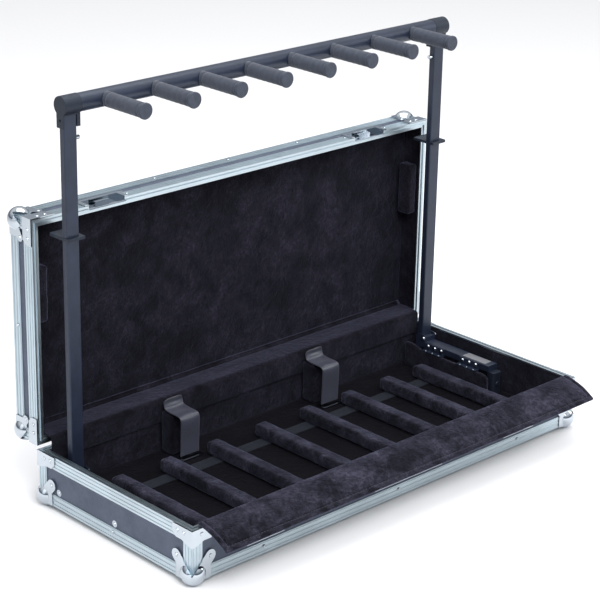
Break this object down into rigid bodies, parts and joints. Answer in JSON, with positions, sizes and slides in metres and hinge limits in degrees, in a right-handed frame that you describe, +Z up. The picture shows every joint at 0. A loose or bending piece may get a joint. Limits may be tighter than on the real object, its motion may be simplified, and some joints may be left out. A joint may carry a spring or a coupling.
{
  "type": "guitar rack",
  "caption": "Shallow flight case tray with an open hinged lid, padded rest bars, a fold-out front flap and two uprights carrying a crossbar with padded neck prongs",
  "frame": {"origin": "centre of the footprint on the ground", "axes": "+X along the case, +Y from the front flap towards the lid, +Z up"},
  "size_m": [1.123, 0.6274, 0.8519],
  "materials": {
    "laminate": "phenolic-faced plywood, fine hammered texture, satin",
    "extrusion": "anodised extrusion, fine ribs",
    "chrome": "bright plated pressings",
    "steel": "zinc plated",
    "coated_steel": "satin powder coat",
    "black_moulding": "moulded",
    "label": "blank printed film",
    "plush": "short-pile plush",
    "hook_tape": "hook tape",
    "webbing": "woven strap",
    "foam": "foam rubber sleeve"
  },
  "bodies": {
    "tray": {"tray_bottom_panel": "laminate", "tray_front_panel": "laminate", "tray_rear_panel": "laminate", "tray_left_panel": "laminate", "tray_right_panel": "laminate", "tray_edging": "extrusion", "tray_corner_angles": "extrusion", "tray_ball_corners": "chrome", "tray_rim": "extrusion", "tray_rim_braces": "chrome", "tray_rivets": "chrome", "tray_wall_lining": "plush", "tray_floor_pad": "plush", "hook_tapes": "hook_tape", "rest_bars": "plush", "end_board_left": "plush", "end_board_right": "plush", "runner_left": "coated_steel", "runner_right": "coated_steel", "runner_brackets": "coated_steel", "runner_screws": "chrome", "runner_posts": "black_moulding", "label_plate": "label", "upright_feet": "coated_steel", "foot_bolts": "chrome", "upright_left": "coated_steel", "upright_right": "coated_steel", "collar_plates": "black_moulding", "strap_blocks": "plush", "loop_straps": "webbing", "strap_buckles": "chrome", "latch_bodies": "chrome", "handle_dish": "chrome", "hinge_leaves_tray": "steel", "hinge_pins": "steel"},
    "lid": {"lid_top_panel": "laminate", "lid_front_wall": "laminate", "lid_rear_wall": "laminate", "lid_side_walls": "laminate", "lid_edging": "extrusion", "lid_corner_angles": "extrusion", "lid_ball_corners": "chrome", "lid_rim": "extrusion", "lid_rim_braces": "chrome", "lid_rivets": "chrome", "lid_lining": "plush", "lid_side_pads": "plush", "latch_dishes": "chrome", "hinge_leaves_lid": "steel"},
    "flap": {"flap_board": "plush"},
    "rack_top": {"crossbar": "coated_steel", "t_fittings": "black_moulding", "prong_rods": "steel", "prong_sleeves": "foam", "prong_caps": "black_moulding"},
    "pin_left": {"lock_pin_left": "chrome"},
    "pin_right": {"lock_pin_right": "chrome"},
    "wing_left": {"latch_wing_left": "chrome"},
    "wing_right": {"latch_wing_right": "chrome"},
    "bail": {"handle_bail": "chrome"}
  },
  "joints": [
    {"name": "lid_hinge", "type": "hinge", "parent": "tray", "child": "lid", "pos_m": [0, 0.23725, 0.124], "axis": [1, 0, 0], "range_deg": [0, 6]},
    {"name": "flap_hinge", "type": "hinge", "parent": "tray", "child": "flap", "pos_m": [0, -0.22115, 0.122], "axis": [1, 0, 0], "range_deg": [-205, 0]},
    {"name": "rack_top_lift", "type": "slide", "parent": "tray", "child": "rack_top", "axis": [0, 0, 1], "range_m": [0, 0.05]},
    {"name": "left_button_press", "type": "slide", "parent": "tray", "child": "pin_left", "axis": [-1, 0, 0], "range_m": [0, 0.006], "stiffness_N_per_m": 400},
    {"name": "right_button_press", "type": "slide", "parent": "tray", "child": "pin_right", "axis": [1, 0, 0], "range_m": [0, 0.006], "stiffness_N_per_m": 400},
    {"name": "left_latch_turn", "type": "hinge", "parent": "tray", "child": "wing_left", "pos_m": [-0.367, -0.23475, 0.077], "axis": [0, 1, 0], "range_deg": [0, 90]},
    {"name": "right_latch_turn", "type": "hinge", "parent": "tray", "child": "wing_right", "pos_m": [0.367, -0.23475, 0.077], "axis": [0, 1, 0], "range_deg": [-90, 0]},
    {"name": "handle_swing", "type": "hinge", "parent": "tray", "child": "bail", "pos_m": [0.03, -0.23435, 0.079], "axis": [1, 0, 0], "range_deg": [-85, 0]}
  ]
}
